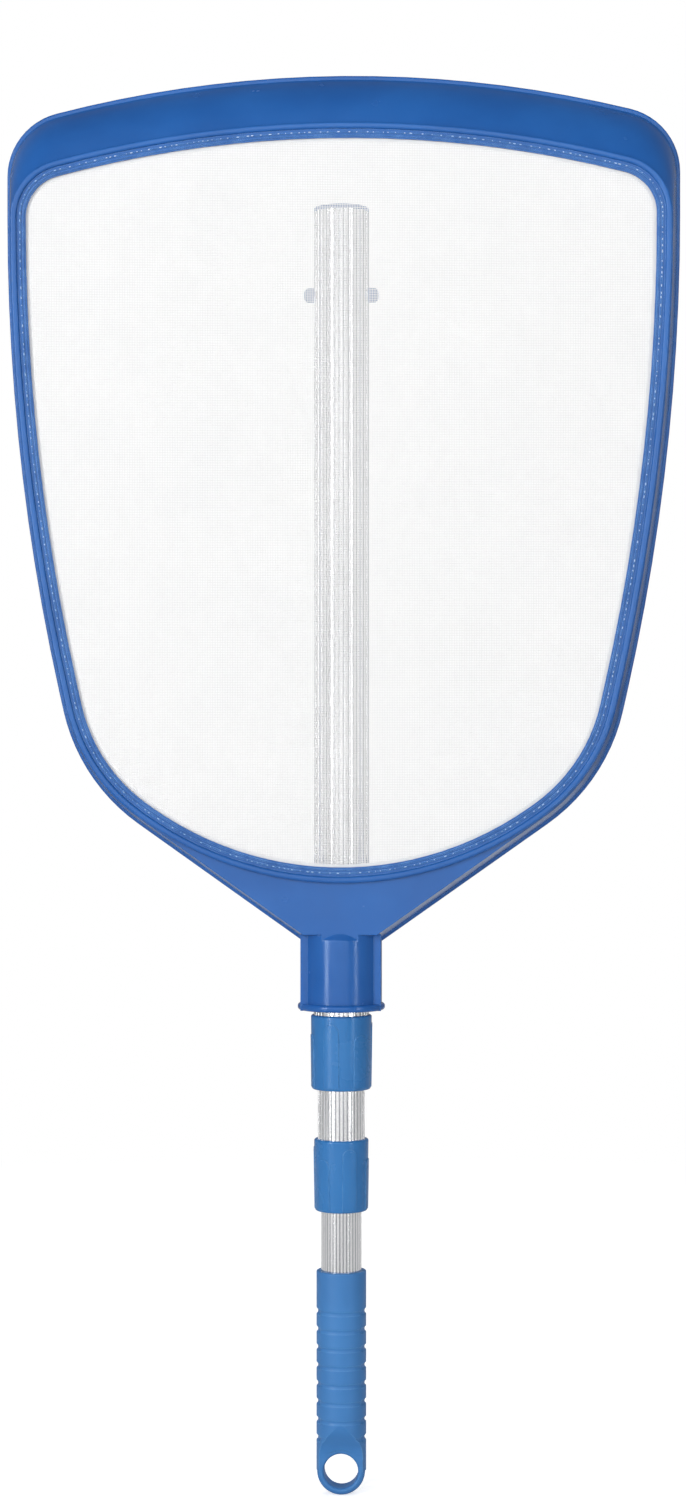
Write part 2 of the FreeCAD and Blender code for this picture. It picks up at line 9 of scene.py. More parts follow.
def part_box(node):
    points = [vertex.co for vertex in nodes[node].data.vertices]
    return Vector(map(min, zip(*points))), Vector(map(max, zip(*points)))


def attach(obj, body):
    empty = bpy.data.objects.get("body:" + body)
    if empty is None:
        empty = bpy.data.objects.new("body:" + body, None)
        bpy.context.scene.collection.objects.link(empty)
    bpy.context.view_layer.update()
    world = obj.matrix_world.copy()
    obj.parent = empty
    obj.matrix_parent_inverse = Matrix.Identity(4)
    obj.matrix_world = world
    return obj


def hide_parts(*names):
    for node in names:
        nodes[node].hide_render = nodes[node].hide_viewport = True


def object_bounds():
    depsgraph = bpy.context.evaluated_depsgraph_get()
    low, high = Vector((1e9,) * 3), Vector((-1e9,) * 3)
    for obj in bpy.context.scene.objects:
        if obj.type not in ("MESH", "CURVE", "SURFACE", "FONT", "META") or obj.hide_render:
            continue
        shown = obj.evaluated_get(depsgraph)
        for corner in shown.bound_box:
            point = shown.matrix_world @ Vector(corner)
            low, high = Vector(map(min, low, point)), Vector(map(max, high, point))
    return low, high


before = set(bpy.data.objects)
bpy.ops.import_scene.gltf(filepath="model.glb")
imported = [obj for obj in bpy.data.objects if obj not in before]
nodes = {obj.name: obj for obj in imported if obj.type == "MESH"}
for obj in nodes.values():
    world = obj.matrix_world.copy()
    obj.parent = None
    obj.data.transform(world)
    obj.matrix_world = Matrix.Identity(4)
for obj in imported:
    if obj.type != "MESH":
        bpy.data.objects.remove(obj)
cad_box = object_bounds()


# Studio
# A plain white sweep: a large pale floor under the object, a white backdrop, and soft boxes round it.
# The camera stands level in front of the net, and a little to its right, as the perspective asks.
# Near the object the floor takes light and shade, and farther off the camera sees it as plain white.

image_height = 1500
focal_pixels = 2900.0
sensor_mm = 36.0
camera_distance = 1.58
camera_height = 0.39155
camera_right = 0.0009
camera_turn = math.radians(2.3)
camera_reach = 100.0
floor_gap = 0.0001
floor_half_size = 40.0
floor_grey = (0.8, 0.8, 0.8, 1)
floor_glow = 0.62
floor_shade_reach = 0.35
floor_white_reach = 1.3
horizon_light = 0.34
overhead_light = 0.10
overhead_height = 0.9

scene = bpy.context.scene
scene.view_settings.view_transform = "Standard"
scene.view_settings.look = "None"

camera_data = bpy.data.cameras.new("camera")
camera_data.sensor_width = sensor_mm
camera_data.lens = focal_pixels / image_height * sensor_mm
camera_data.clip_end = camera_reach
camera = bpy.data.objects.new("camera", camera_data)
camera.location = (
    camera_distance * math.sin(camera_turn) + camera_right * math.cos(camera_turn),
    camera_right * math.sin(camera_turn) - camera_distance * math.cos(camera_turn),
    camera_height,
)
camera.rotation_euler = (math.pi / 2, 0, camera_turn)
scene.collection.objects.link(camera)
scene.camera = camera

floor_mesh = bmesh.new()
bmesh.ops.create_grid(floor_mesh, x_segments=8, y_segments=8, size=floor_half_size)
bmesh.ops.translate(floor_mesh, vec=(0, 0, cad_box[0][2] - floor_gap), verts=floor_mesh.verts)
floor_data = bpy.data.meshes.new("floor")
floor_mesh.to_mesh(floor_data)
floor_mesh.free()
floor = bpy.data.objects.new("floor", floor_data)
scene.collection.objects.link(floor)
floor_material = bpy.data.materials.new("pale_floor")
floor_material.use_nodes = True
floor_shader = floor_material.node_tree.nodes["Principled BSDF"]
floor_shader.inputs["Base Color"].default_value = floor_grey
floor_shader.inputs["Roughness"].default_value = 0.8
floor_shader.inputs["Specular IOR Level"].default_value = 0.1
floor_shader.inputs["Emission Color"].default_value = (1, 1, 1, 1)
floor_nodes = floor_material.node_tree.nodes
floor_links = floor_material.node_tree.links
floor_place = floor_nodes.new("ShaderNodeTexCoord")
floor_far = floor_nodes.new("ShaderNodeVectorMath")
floor_far.operation = "LENGTH"
floor_links.new(floor_place.outputs["Object"], floor_far.inputs[0])
floor_ray = floor_nodes.new("ShaderNodeLightPath")
floor_lift = floor_nodes.new("ShaderNodeMath")
floor_lift.operation = "MULTIPLY"
floor_lift.inputs[1].default_value = floor_glow
floor_links.new(floor_ray.outputs["Is Camera Ray"], floor_lift.inputs[0])
floor_links.new(floor_lift.outputs[0], floor_shader.inputs["Emission Strength"])
floor_fade = floor_nodes.new("ShaderNodeMapRange")
floor_fade.inputs["From Min"].default_value = floor_shade_reach
floor_fade.inputs["From Max"].default_value = floor_white_reach
floor_links.new(floor_far.outputs["Value"], floor_fade.inputs["Value"])
floor_white = floor_nodes.new("ShaderNodeEmission")
floor_share = floor_nodes.new("ShaderNodeMath")
floor_share.operation = "MULTIPLY"
floor_links.new(floor_ray.outputs["Is Camera Ray"], floor_share.inputs[0])
floor_links.new(floor_fade.outputs["Result"], floor_share.inputs[1])
floor_mix = floor_nodes.new("ShaderNodeMixShader")
floor_links.new(floor_share.outputs[0], floor_mix.inputs["Fac"])
floor_links.new(floor_shader.outputs[0], floor_mix.inputs[1])
floor_links.new(floor_white.outputs[0], floor_mix.inputs[2])
floor_links.new(floor_mix.outputs[0], floor_nodes["Material Output"].inputs["Surface"])
floor.data.materials.append(floor_material)


def soft_box(name, place, aim, width, height, power, mirrored=True):
    # An area light that the camera never sees. Where it isn't mirrored, it leaves no highlight on gloss.
    light = bpy.data.lights.new(name, "AREA")
    light.shape = "RECTANGLE"
    light.size = width
    light.size_y = height
    light.energy = power
    lamp = bpy.data.objects.new(name, light)
    lamp.visible_camera = False
    lamp.visible_glossy = mirrored
    lamp.location = place
    lamp.rotation_euler = (Vector(aim) - Vector(place)).to_track_quat("-Z", "Y").to_euler()
    scene.collection.objects.link(lamp)


middle = (0, 0, 0.4)
net_top = (0, 0, 0.7)
soft_box("left_strip", (-1.7, -1.8, 0.8), middle, 0.46, 1.5, 28)
soft_box("right_strip", (1.8, -1.6, 0.7), middle, 0.30, 1.4, 11)
soft_box("front_wall", (-0.3, -3.6, 0.9), middle, 4.2, 3.2, 72)
soft_box("top_box", (-0.3, -0.75, 2.35), net_top, 1.4, 0.5, 6.5, mirrored=False)
soft_box("back_box", (0.5, 2.2, 1.7), middle, 1.6, 1.2, 24, mirrored=False)

world = bpy.data.worlds.new("studio")
world.use_nodes = True
scene.world = world
sky = world.node_tree.nodes
sky_links = world.node_tree.links
seen = sky.new("ShaderNodeBackground")
seen.inputs["Color"].default_value = (1, 1, 1, 1)
seen.inputs["Strength"].default_value = 1.0
lighting = sky["Background"]
lighting.inputs["Color"].default_value = (0.95, 0.97, 1.0, 1)
towards = sky.new("ShaderNodeTexCoord")
upwards = sky.new("ShaderNodeSeparateXYZ")
sky_links.new(towards.outputs["Generated"], upwards.inputs[0])
dimming = sky.new("ShaderNodeMapRange")
dimming.inputs["From Max"].default_value = overhead_height
dimming.inputs["To Min"].default_value = horizon_light
dimming.inputs["To Max"].default_value = overhead_light
sky_links.new(upwards.outputs["Z"], dimming.inputs["Value"])
sky_links.new(dimming.outputs["Result"], lighting.inputs["Strength"])
ray = sky.new("ShaderNodeLightPath")
choice = sky.new("ShaderNodeMixShader")
sky_links.new(ray.outputs["Is Camera Ray"], choice.inputs["Fac"])
sky_links.new(lighting.outputs[0], choice.inputs[1])
sky_links.new(seen.outputs[0], choice.inputs[2])
sky_links.new(choice.outputs[0], sky["World Output"].inputs["Surface"])


# Net frame and hoop
# Both are injection-moulded in glossy blue polypropylene. The hoop is welded over the net's edge,
# and the frame is one moulding with the scoop lip, the tray walls and the pole socket.
# The hoop's narrow ridges are painted lighter than the frame's broad edges, partly as wear and partly as
# painted highlight lines.

frame_blue = (0.019, 0.118, 0.405, 1)
frame_blue_deep = (0.015, 0.094, 0.340, 1)
# The edge colours below are wear and painted highlight in one. The hoop's is much lighter, as painted
# highlight lines on its ridges.
frame_blue_wear_and_highlight = (0.040, 0.170, 0.480, 1)
hoop_blue_highlight_and_wear = (0.170, 0.380, 0.760, 1)
moulded_ior = 1.49
moulded_tint = (0.72, 0.86, 1.0, 1)
cloud_scale = 18.0
wear_and_highlight_scale = 140.0
sheen_scale = 55.0
grain_height = 0.0002


def group_tree(name, inputs, outputs):
    # An empty node group with its named sockets; each input is (name, socket type, value).
    tree = bpy.data.node_groups.new(name, "ShaderNodeTree")
    for socket_name, socket_type, value in inputs:
        socket = tree.interface.new_socket(socket_name, in_out="INPUT", socket_type=socket_type)
        socket.default_value = value
    for socket_name, socket_type in outputs:
        tree.interface.new_socket(socket_name, in_out="OUTPUT", socket_type=socket_type)
    return tree, tree.nodes.new("NodeGroupInput"), tree.nodes.new("NodeGroupOutput")


def make_moulded_plastic():
    # Moulded plastic: cloudy pigment, patchy gloss, a grained skin, and rounded edges painted lighter,
    # partly as wear and partly as a painted highlight.
    tree, given, result = group_tree(
        "moulded_plastic",
        [
            ("Colour", "NodeSocketColor", (0.1, 0.2, 0.5, 1)),
            ("Deep Colour", "NodeSocketColor", (0.05, 0.1, 0.4, 1)),
            ("Wear And Highlight Colour", "NodeSocketColor", (0.3, 0.4, 0.7, 1)),
            ("Smooth", "NodeSocketFloat", 0.25),
            ("Dull", "NodeSocketFloat", 0.45),
            ("Grain Scale", "NodeSocketFloat", 900.0),
            ("Grain Depth", "NodeSocketFloat", 0.15),
            ("Edge Radius", "NodeSocketFloat", 0.0004),
        ],
        [("Colour", "NodeSocketColor"), ("Roughness", "NodeSocketFloat"), ("Normal", "NodeSocketVector")],
    )
    node = tree.nodes.new
    link = tree.links.new
    place = node("ShaderNodeTexCoord")
    clouds = node("ShaderNodeTexNoise")
    clouds.inputs["Scale"].default_value = cloud_scale
    clouds.inputs["Detail"].default_value = 4.0
    link(place.outputs["Object"], clouds.inputs["Vector"])
    cloud_range = node("ShaderNodeMapRange")
    cloud_range.inputs["From Min"].default_value = 0.35
    cloud_range.inputs["From Max"].default_value = 0.68
    link(clouds.outputs["Fac"], cloud_range.inputs["Value"])
    pigment = node("ShaderNodeMix")
    pigment.data_type = "RGBA"
    link(cloud_range.outputs["Result"], pigment.inputs["Factor"])
    link(given.outputs["Colour"], pigment.inputs["A"])
    link(given.outputs["Deep Colour"], pigment.inputs["B"])

    rounded = node("ShaderNodeBevel")
    rounded.samples = 4
    link(given.outputs["Edge Radius"], rounded.inputs["Radius"])
    shape = node("ShaderNodeNewGeometry")
    bend = node("ShaderNodeVectorMath")
    bend.operation = "DOT_PRODUCT"
    link(rounded.outputs["Normal"], bend.inputs[0])
    link(shape.outputs["Normal"], bend.inputs[1])
    # Edges are found where the rounded normal bends away from the true one. They take the lighter colour,
    # partly as wear and partly as a painted highlight.
    edge = node("ShaderNodeMapRange")
    edge.inputs["From Min"].default_value = 0.995
    edge.inputs["From Max"].default_value = 0.90
    link(bend.outputs["Value"], edge.inputs["Value"])
    wear_and_highlight_noise = node("ShaderNodeTexNoise")
    wear_and_highlight_noise.inputs["Scale"].default_value = wear_and_highlight_scale
    wear_and_highlight_noise.inputs["Detail"].default_value = 3.0
    link(place.outputs["Object"], wear_and_highlight_noise.inputs["Vector"])
    wear_and_highlight_mask = node("ShaderNodeMath")
    wear_and_highlight_mask.operation = "MULTIPLY"
    link(edge.outputs["Result"], wear_and_highlight_mask.inputs[0])
    wear_and_highlight_range = node("ShaderNodeMapRange")
    wear_and_highlight_range.inputs["From Min"].default_value = 0.35
    wear_and_highlight_range.inputs["From Max"].default_value = 0.6
    wear_and_highlight_range.inputs["To Min"].default_value = 0.35
    link(wear_and_highlight_noise.outputs["Fac"], wear_and_highlight_range.inputs["Value"])
    link(wear_and_highlight_range.outputs["Result"], wear_and_highlight_mask.inputs[1])
    colour = node("ShaderNodeMix")
    colour.data_type = "RGBA"
    link(wear_and_highlight_mask.outputs[0], colour.inputs["Factor"])
    link(pigment.outputs["Result"], colour.inputs["A"])
    link(given.outputs["Wear And Highlight Colour"], colour.inputs["B"])
    link(colour.outputs["Result"], result.inputs["Colour"])

    sheen = node("ShaderNodeTexNoise")
    sheen.inputs["Scale"].default_value = sheen_scale
    sheen.inputs["Detail"].default_value = 6.0
    link(place.outputs["Object"], sheen.inputs["Vector"])
    gloss = node("ShaderNodeMapRange")
    gloss.inputs["From Min"].default_value = 0.35
    gloss.inputs["From Max"].default_value = 0.7
    link(sheen.outputs["Fac"], gloss.inputs["Value"])
    link(given.outputs["Smooth"], gloss.inputs["To Min"])
    link(given.outputs["Dull"], gloss.inputs["To Max"])
    link(gloss.outputs["Result"], result.inputs["Roughness"])

    grain = node("ShaderNodeTexNoise")
    grain.inputs["Detail"].default_value = 2.0
    link(place.outputs["Object"], grain.inputs["Vector"])
    link(given.outputs["Grain Scale"], grain.inputs["Scale"])
    skin = node("ShaderNodeBump")
    skin.inputs["Distance"].default_value = grain_height
    link(given.outputs["Grain Depth"], skin.inputs["Strength"])
    link(grain.outputs["Fac"], skin.inputs["Height"])
    link(rounded.outputs["Normal"], skin.inputs["Normal"])
    link(skin.outputs["Normal"], result.inputs["Normal"])
    return tree


moulded_plastic = make_moulded_plastic()


def plastic(name, colour, deep, wear_and_highlight, smooth, dull, grain_scale, grain_depth, edge_radius):
    # A moulded plastic: its three colours (the edge colour is wear and painted highlight in one), its
    # roughness from smooth to dull, its grain and its edges.
    material = bpy.data.materials.new(name)
    material.use_nodes = True
    tree = material.node_tree
    shader = tree.nodes["Principled BSDF"]
    skin = tree.nodes.new("ShaderNodeGroup")
    skin.node_tree = moulded_plastic
    values = {
        "Colour": colour, "Deep Colour": deep, "Wear And Highlight Colour": wear_and_highlight, "Smooth": smooth, "Dull": dull,
        "Grain Scale": grain_scale, "Grain Depth": grain_depth, "Edge Radius": edge_radius,
    }
    for socket_name, value in values.items():
        skin.inputs[socket_name].default_value = value
    tree.links.new(skin.outputs["Colour"], shader.inputs["Base Color"])
    tree.links.new(skin.outputs["Roughness"], shader.inputs["Roughness"])
    tree.links.new(skin.outputs["Normal"], shader.inputs["Normal"])
    shader.inputs["IOR"].default_value = moulded_ior
    shader.inputs["Specular Tint"].default_value = moulded_tint
    return material


def dress(material, *names):
    # Gives a CAD piece its material, in the slots that it came with.
    for name in names:
        node_mesh = nodes[name].data
        if not node_mesh.materials:
            node_mesh.materials.append(material)
        for slot in nodes[name].material_slots:
            slot.material = material


frame_plastic = plastic(
    "glossy_blue_polypropylene", frame_blue, frame_blue_deep, frame_blue_wear_and_highlight,
    smooth=0.16, dull=0.28, grain_scale=700.0, grain_depth=0.08, edge_radius=0.0005,
)
dress(frame_plastic, "head_frame")
hoop_plastic = plastic(
    "blue_polypropylene_painted_edge_highlight", frame_blue, frame_blue_deep, hoop_blue_highlight_and_wear,
    smooth=0.14, dull=0.26, grain_scale=700.0, grain_depth=0.08, edge_radius=0.0005,
)
dress(hoop_plastic, "mesh_hoop")


# Net
# A fine white nylon net, cut to the ring's shape and stretched flat between the frame and the hoop.
# It is a thin sheet with its weave in the material, and bellies very slightly inside the hoop.
# Along the hoop its threads are heat-pressed into each other, so that no gap is left there.

net_middle_depth = 0.00015
net_grid = 0.010
net_belly = 0.0006
ripple_scale = 9
backward = -0.9
same_place = 1e-6
thread_pitch = 0.0009
thread_share = 0.42
thread_height = 0.0002
pressed_edge = 0.0078
net_cloud_scale = 30.0
net_shade = (0.78, 0.78, 0.785, 1)
net_white = (0.84, 0.835, 0.83, 1)

net_low, net_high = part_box("net_mesh")
net_bm = bmesh.new()
net_bm.from_mesh(nodes["net_mesh"].data)
bmesh.ops.remove_doubles(net_bm, verts=net_bm.verts, dist=same_place)
backs = [f for f in net_bm.faces if f.normal.y > backward]
bmesh.ops.delete(net_bm, geom=backs, context="FACES")


def outer_loop(bm):
    # Walks the outer boundary of a flat mesh, from its vertex furthest to the right.
    rims = {v: [e for e in v.link_edges if e.is_boundary] for v in bm.verts}
    start = max((v for v in bm.verts if rims[v]), key=lambda v: v.co.x)
    loop = [start]
    edge = rims[start][0]
    here = edge.other_vert(start)
    while here is not start:
        loop.append(here)
        edge = rims[here][0] if rims[here][1] is edge else rims[here][1]
        here = edge.other_vert(here)
    return loop


border = [v.co.copy() for v in outer_loop(net_bm)]
net_bm.clear()
border_verts = [net_bm.verts.new((p.x, net_low.y + net_middle_depth, p.z)) for p in border]
net_bm.faces.new(border_verts)
net_bm.normal_update()
if net_bm.faces[:][0].normal.y > 0:
    bmesh.ops.reverse_faces(net_bm, faces=net_bm.faces)

# The seam's line on the hoop lies a little inside the net's edge, and is kept for the hoop's weld marks.
seam_inset = 0.0030
seam_turn = math.radians(0.4)
seam_bm = net_bm.copy()
bmesh.ops.dissolve_limit(seam_bm, angle_limit=seam_turn, verts=seam_bm.verts, edges=seam_bm.edges)
bmesh.ops.inset_region(
    seam_bm, faces=seam_bm.faces, thickness=seam_inset, use_boundary=True, use_even_offset=True,
)
inner_face = max(seam_bm.faces, key=lambda f: f.calc_area())
seam_line = [v.co.copy() for v in inner_face.verts]
seam_bm.free()

# Each face keeps whether it belongs to the pressed edge.
edge_mark = net_bm.faces.layers.float.new("pressed")
bmesh.ops.inset_region(
    net_bm, faces=net_bm.faces, thickness=pressed_edge, use_boundary=True, use_even_offset=True,
)
open_net = max(net_bm.faces, key=lambda f: f.calc_area())
for face in net_bm.faces:
    face[edge_mark] = 0.0 if face is open_net else 1.0


def slice_all(bm, axis, low, high, step):
    # Cuts the whole mesh into strips of one width across an axis.
    normal = Vector((0, 0, 0))
    normal[axis] = 1
    for i in range(1, math.ceil((high - low) / step)):
        cut = Vector((0, 0, 0))
        cut[axis] = low + i * step
        whole = bm.verts[:] + bm.edges[:] + bm.faces[:]
        bmesh.ops.bisect_plane(bm, geom=whole, plane_co=cut, plane_no=normal)


slice_all(net_bm, 0, net_low.x, net_high.x, net_grid)
slice_all(net_bm, 2, net_low.z, net_high.z, net_grid)

# The belly fades out towards the hoop, so that the net's edge stays between frame and hoop.
edge_keep = 0.012
edge_fade = 0.045
rim_step = 6
rim_points = border[::rim_step]
for v in net_bm.verts:
    reach = min((v.co - p).length for p in rim_points)
    share = min(max((reach - edge_keep) / edge_fade, 0.0), 1.0)
    ripple = noise.noise(Vector((v.co.x * ripple_scale, 0.0, v.co.z * ripple_scale)))
    v.co.y -= net_belly * share * share * (0.5 + ripple)

net_data = bpy.data.meshes.new("net")
net_bm.to_mesh(net_data)
net_bm.free()
net_data.shade_smooth()
net = bpy.data.objects.new("net", net_data)
scene.collection.objects.link(net)


def make_net_weave():
    # A plain weave seen flat: the threads' mask, and their rounded height.
    tree, given, result = group_tree(
        "net_weave",
        [("Pitch", "NodeSocketFloat", 0.001), ("Thread Share", "NodeSocketFloat", 0.5)],
        [("Threads", "NodeSocketFloat"), ("Height", "NodeSocketFloat")],
    )
    node = tree.nodes.new
    link = tree.links.new
    place = node("ShaderNodeTexCoord")
    parts = node("ShaderNodeSeparateXYZ")
    link(place.outputs["Object"], parts.inputs[0])

    def maths(operation, first, second=None):
        step = node("ShaderNodeMath")
        step.operation = operation
        for socket, value in zip(step.inputs, (first, second)):
            if isinstance(value, (int, float)):
                socket.default_value = value
            elif value is not None:
                link(value, socket)
        return step.outputs[0]

    profiles = []
    for axis in ("X", "Z"):
        along = maths("DIVIDE", parts.outputs[axis], given.outputs["Pitch"])
        across = maths("ABSOLUTE", maths("SUBTRACT", maths("FRACT", along), 0.5))
        offset = maths("DIVIDE", across, maths("MULTIPLY", given.outputs["Thread Share"], 0.5))
        profiles.append((maths("LESS_THAN", offset, 1.0), maths("SUBTRACT", 1.0, offset)))
    result_mask = maths("MAXIMUM", profiles[0][0], profiles[1][0])
    result_height = maths("MAXIMUM", profiles[0][1], profiles[1][1])
    link(result_mask, result.inputs["Threads"])
    link(result_height, result.inputs["Height"])
    return tree


net_nylon = bpy.data.materials.new("white_nylon_net")
net_nylon.use_nodes = True
net_tree = net_nylon.node_tree
net_shader = net_tree.nodes["Principled BSDF"]
weave = net_tree.nodes.new("ShaderNodeGroup")
weave.node_tree = make_net_weave()
weave.inputs["Pitch"].default_value = thread_pitch
weave.inputs["Thread Share"].default_value = thread_share
net_bump = net_tree.nodes.new("ShaderNodeBump")
net_bump.inputs["Strength"].default_value = 0.5
net_bump.inputs["Distance"].default_value = thread_height
net_tree.links.new(weave.outputs["Height"], net_bump.inputs["Height"])
net_tree.links.new(net_bump.outputs["Normal"], net_shader.inputs["Normal"])
pressed = net_tree.nodes.new("ShaderNodeAttribute")
pressed.attribute_name = "pressed"
cover = net_tree.nodes.new("ShaderNodeMath")
cover.operation = "MAXIMUM"
net_tree.links.new(weave.outputs["Threads"], cover.inputs[0])
net_tree.links.new(pressed.outputs["Fac"], cover.inputs[1])
net_tree.links.new(cover.outputs[0], net_shader.inputs["Alpha"])
net_cloud = net_tree.nodes.new("ShaderNodeTexNoise")
net_cloud.inputs["Scale"].default_value = net_cloud_scale
net_place = net_tree.nodes.new("ShaderNodeTexCoord")
net_tree.links.new(net_place.outputs["Object"], net_cloud.inputs["Vector"])
net_tone = net_tree.nodes.new("ShaderNodeMix")
net_tone.data_type = "RGBA"
net_tone.inputs["A"].default_value = net_shade
net_tone.inputs["B"].default_value = net_white
net_tree.links.new(net_cloud.outputs["Fac"], net_tone.inputs["Factor"])
net_tree.links.new(net_tone.outputs["Result"], net_shader.inputs["Base Color"])
net_shader.inputs["Roughness"].default_value = 0.5
net_data.materials.append(net_nylon)

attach(net, "head")
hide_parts("net_mesh")


# Weld marks
# The hoop is welded to the frame through the net.
# That leaves a line of small raised, pale marks round it, uneven in length and spacing.

mark_pitch = 0.0040
mark_spacing = (0.5, 1.6)
mark_half_length = (0.0002, 0.0010)
mark_half_width = 0.00028
mark_half_height = 0.0004
hoop_ridge_top = 0.0019
weld_pale = (0.66, 0.80, 0.96, 1)
weld_blue = (0.30, 0.52, 0.84, 1)
# The marks' edge colour is wear and painted highlight in one.
weld_wear_and_highlight = (0.9, 0.95, 1.0, 1)
random.seed(7)

marks_bm = bmesh.new()
travelled = 0.0
due = 0.0
for start, end in zip(seam_line, seam_line[1:] + seam_line[:1]):
    run = end - start
    length = run.length
    while due < travelled + length:
        spot = start + run * ((due - travelled) / length)
        long_half = random.uniform(*mark_half_length)
        made = bmesh.ops.create_icosphere(marks_bm, subdivisions=1, radius=1.0)["verts"]
        bmesh.ops.scale(marks_bm, vec=(long_half, mark_half_height, mark_half_width), verts=made)
        turn = Vector((1, 0, 0)).rotation_difference(run.normalized())
        bmesh.ops.rotate(marks_bm, cent=(0, 0, 0), matrix=turn.to_matrix(), verts=made)
        bmesh.ops.translate(marks_bm, vec=(spot.x, net_low.y - hoop_ridge_top, spot.z), verts=made)
        due += mark_pitch * random.uniform(*mark_spacing)
    travelled += length
marks_data = bpy.data.meshes.new("weld_marks")
marks_bm.to_mesh(marks_data)
marks_bm.free()
marks_data.shade_smooth()
weld_marks = bpy.data.objects.new("weld_marks", marks_data)
scene.collection.objects.link(weld_marks)
mark_plastic = plastic(
    "pale_weld_marks", weld_pale, weld_blue, weld_wear_and_highlight,
    smooth=0.2, dull=0.4, grain_scale=900.0, grain_depth=0.1, edge_radius=0.0001,
)
marks_data.materials.append(mark_plastic)
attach(weld_marks, "head")


# Twist collars
# Two collars in a lighter blue are pressed on the lower ends of the outer tubes.
# They are moulded with raised, arch-topped panels for the fingers.

collar_blue = (0.034, 0.180, 0.455, 1)
collar_blue_deep = (0.027, 0.152, 0.405, 1)
# The edge colour is wear and painted highlight in one, and it lightens the panels' arch edges.
collar_blue_wear_and_highlight = (0.10, 0.30, 0.62, 1)
collar_plastic = plastic(
    "satin_blue_collar", collar_blue, collar_blue_deep, collar_blue_wear_and_highlight,
    smooth=0.20, dull=0.34, grain_scale=900.0, grain_depth=0.10, edge_radius=0.0005,
)
dress(collar_plastic, "collar_1", "collar_2")


# Grip
# A soft blue sleeve with a fine matt skin and finger notches, moulded in one with its flattened eye.
# It is pushed over the lower end of the smallest tube.

grip_blue = (0.047, 0.190, 0.465, 1)
grip_blue_deep = (0.040, 0.163, 0.415, 1)
# The edge colour is wear and painted highlight in one.
grip_blue_wear_and_highlight = (0.12, 0.32, 0.60, 1)
grip_plastic = plastic(
    "matt_blue_grip", grip_blue, grip_blue_deep, grip_blue_wear_and_highlight,
    smooth=0.38, dull=0.5, grain_scale=1400.0, grain_depth=0.2, edge_radius=0.0008,
)
dress(grip_plastic, "grip")


# Tubes
# Three fluted aluminium tubes, drawn through a die, so fine bright lines run along them.
# They slide in each other, and the smallest carries the grip.

flute_depth = 0.0003
line_stretch = (900, 900, 6)
line_height = 0.0001
aluminium_dull = (0.93, 0.935, 0.95, 1)
aluminium_bright = (0.99, 0.99, 0.995, 1)
flute_painted_shade = (0.36, 0.37, 0.40, 1)
flute_shade_from = 0.55
flute_shade_full = 0.90


def make_drawn_flutes():
    # Drawn lines along a tube, and narrow flutes whose floors are painted grey as shade, so that their
    # crests stand out bright.
    tree, given, result = group_tree(
        "drawn_flutes",
        [("Radius", "NodeSocketFloat", 0.0135), ("Flute Depth", "NodeSocketFloat", 0.0003)],
        [("Colour", "NodeSocketColor"), ("Roughness", "NodeSocketFloat"), ("Normal", "NodeSocketVector")],
    )
    node = tree.nodes.new
    link = tree.links.new
    place = node("ShaderNodeTexCoord")
    stretch = node("ShaderNodeMapping")
    stretch.inputs["Scale"].default_value = line_stretch
    link(place.outputs["Object"], stretch.inputs["Vector"])
    lines = node("ShaderNodeTexNoise")
    lines.inputs["Scale"].default_value = 1.0
    lines.inputs["Detail"].default_value = 3.0
    link(stretch.outputs["Vector"], lines.inputs["Vector"])
    gloss = node("ShaderNodeMapRange")
    gloss.inputs["To Min"].default_value = 0.10
    gloss.inputs["To Max"].default_value = 0.24
    link(lines.outputs["Fac"], gloss.inputs["Value"])
    link(gloss.outputs["Result"], result.inputs["Roughness"])
    tone = node("ShaderNodeMix")
    tone.data_type = "RGBA"
    tone.inputs["A"].default_value = aluminium_dull
    tone.inputs["B"].default_value = aluminium_bright
    link(lines.outputs["Fac"], tone.inputs["Factor"])
    flatten = node("ShaderNodeVectorMath")
    flatten.operation = "MULTIPLY"
    flatten.inputs[1].default_value = (1, 1, 0)
    link(place.outputs["Object"], flatten.inputs[0])
    reach = node("ShaderNodeVectorMath")
    reach.operation = "LENGTH"
    link(flatten.outputs["Vector"], reach.inputs[0])
    sunk = node("ShaderNodeMath")
    sunk.operation = "SUBTRACT"
    link(given.outputs["Radius"], sunk.inputs[0])
    link(reach.outputs["Value"], sunk.inputs[1])
    share = node("ShaderNodeMath")
    share.operation = "DIVIDE"
    link(sunk.outputs[0], share.inputs[0])
    link(given.outputs["Flute Depth"], share.inputs[1])
    # The deeper part of each flute is painted grey: a painted shade in the hollows between the crests.
    flute_shade_mask = node("ShaderNodeMapRange")
    flute_shade_mask.inputs["From Min"].default_value = flute_shade_from
    flute_shade_mask.inputs["From Max"].default_value = flute_shade_full
    link(share.outputs[0], flute_shade_mask.inputs["Value"])
    flute_shade_mix = node("ShaderNodeMix")
    flute_shade_mix.data_type = "RGBA"
    flute_shade_mix.inputs["B"].default_value = flute_painted_shade
    link(flute_shade_mask.outputs["Result"], flute_shade_mix.inputs["Factor"])
    link(tone.outputs["Result"], flute_shade_mix.inputs["A"])
    link(flute_shade_mix.outputs["Result"], result.inputs["Colour"])
    bump = node("ShaderNodeBump")
    bump.inputs["Strength"].default_value = 0.06
    bump.inputs["Distance"].default_value = line_height
    link(lines.outputs["Fac"], bump.inputs["Height"])
    link(bump.outputs["Normal"], result.inputs["Normal"])
    return tree


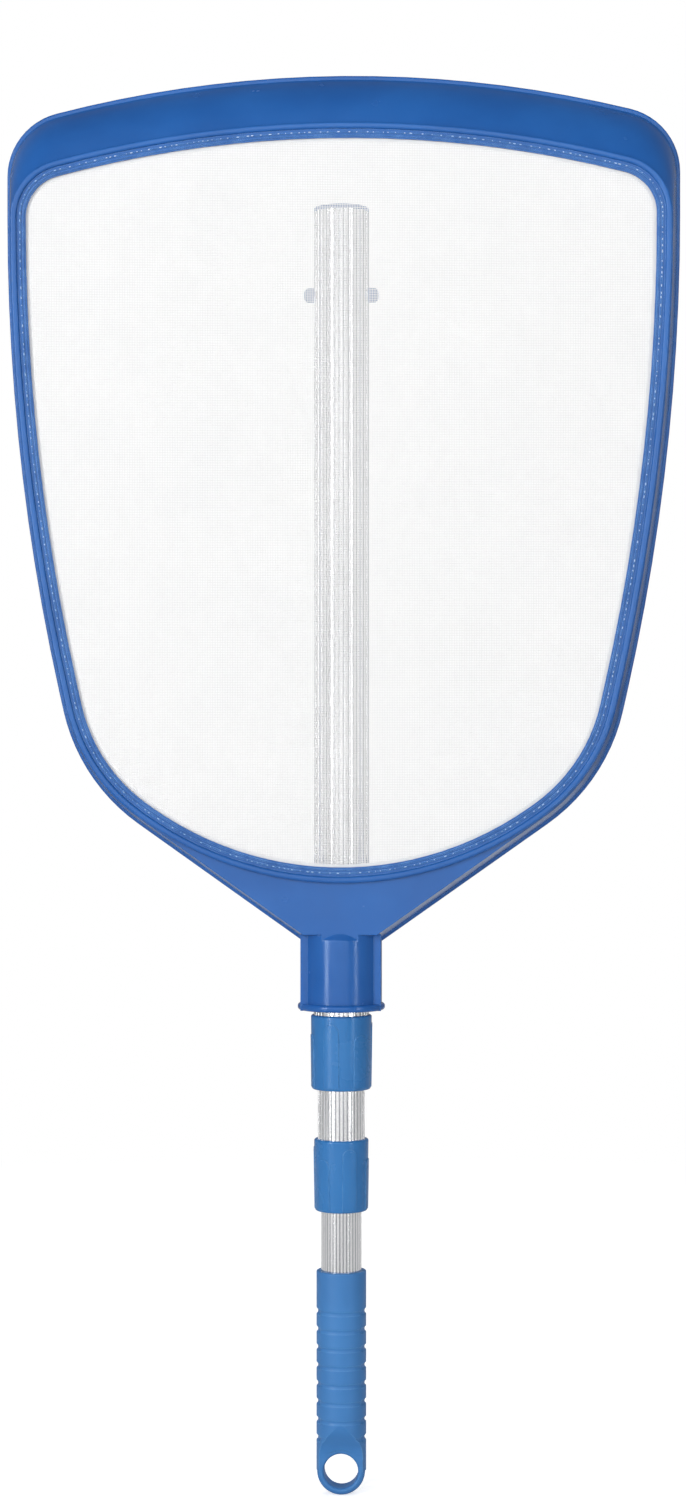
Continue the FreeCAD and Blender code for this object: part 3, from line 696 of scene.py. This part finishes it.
drawn_flutes = make_drawn_flutes()
for tube in ("tube_1", "tube_2", "tube_3"):
    tube_low, tube_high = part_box(tube)
    metal = bpy.data.materials.new(f"drawn_aluminium_{tube}")
    metal.use_nodes = True
    metal_shader = metal.node_tree.nodes["Principled BSDF"]
    metal_shader.inputs["Metallic"].default_value = 1.0
    flutes = metal.node_tree.nodes.new("ShaderNodeGroup")
    flutes.node_tree = drawn_flutes
    flutes.inputs["Radius"].default_value = (tube_high.x - tube_low.x) / 2
    flutes.inputs["Flute Depth"].default_value = flute_depth
    metal.node_tree.links.new(flutes.outputs["Colour"], metal_shader.inputs["Base Color"])
    metal.node_tree.links.new(flutes.outputs["Roughness"], metal_shader.inputs["Roughness"])
    metal.node_tree.links.new(flutes.outputs["Normal"], metal_shader.inputs["Normal"])
    dress(metal, tube)


# Inner fittings
# White moulded plugs, bushes and lock rings, the blue pole tip with its snap buttons,
# and zinc-plated pins, washers, screws and button spring. They sit in the tubes' ends.

# The edge colours of the white plastic and the blue tip are wear and painted highlight in one.
natural_white = (0.72, 0.72, 0.69, 1)
natural_white_deep = (0.66, 0.66, 0.63, 1)
natural_white_wear_and_highlight = (0.8, 0.8, 0.78, 1)
tip_blue = (0.045, 0.160, 0.440, 1)
tip_blue_deep = (0.035, 0.130, 0.380, 1)
tip_blue_wear_and_highlight = (0.12, 0.28, 0.58, 1)
zinc_grey = (0.62, 0.63, 0.64, 1)
spangle_scale = 400.0
lock_plastic = plastic(
    "natural_white_plastic", natural_white, natural_white_deep, natural_white_wear_and_highlight,
    smooth=0.35, dull=0.5, grain_scale=900.0, grain_depth=0.2, edge_radius=0.0003,
)
dress(
    lock_plastic, "guide_bush_1", "guide_bush_2", "cam_plug_2", "cam_plug_3", "lock_ring_2", "lock_ring_3",
    "handle_end_plug",
)
tip_plastic = plastic(
    "satin_blue_tip", tip_blue, tip_blue_deep, tip_blue_wear_and_highlight,
    smooth=0.28, dull=0.42, grain_scale=900.0, grain_depth=0.15, edge_radius=0.0004,
)
dress(tip_plastic, "tip_plug", "snap_button_right", "snap_button_left")
steel = bpy.data.materials.new("zinc_plated_steel")
steel.use_nodes = True
steel_tree = steel.node_tree
steel_shader = steel_tree.nodes["Principled BSDF"]
steel_place = steel_tree.nodes.new("ShaderNodeTexCoord")
spangle = steel_tree.nodes.new("ShaderNodeTexNoise")
spangle.inputs["Scale"].default_value = spangle_scale
steel_tree.links.new(steel_place.outputs["Object"], spangle.inputs["Vector"])
steel_gloss = steel_tree.nodes.new("ShaderNodeMapRange")
steel_gloss.inputs["To Min"].default_value = 0.25
steel_gloss.inputs["To Max"].default_value = 0.45
steel_tree.links.new(spangle.outputs["Fac"], steel_gloss.inputs["Value"])
steel_tree.links.new(steel_gloss.outputs["Result"], steel_shader.inputs["Roughness"])
steel_shader.inputs["Base Color"].default_value = zinc_grey
steel_shader.inputs["Metallic"].default_value = 1.0
dress(
    steel, "plug_pin_2", "plug_pin_3", "lock_washer_2", "lock_washer_3", "lock_screw_2", "lock_screw_3",
    "button_spring",
)
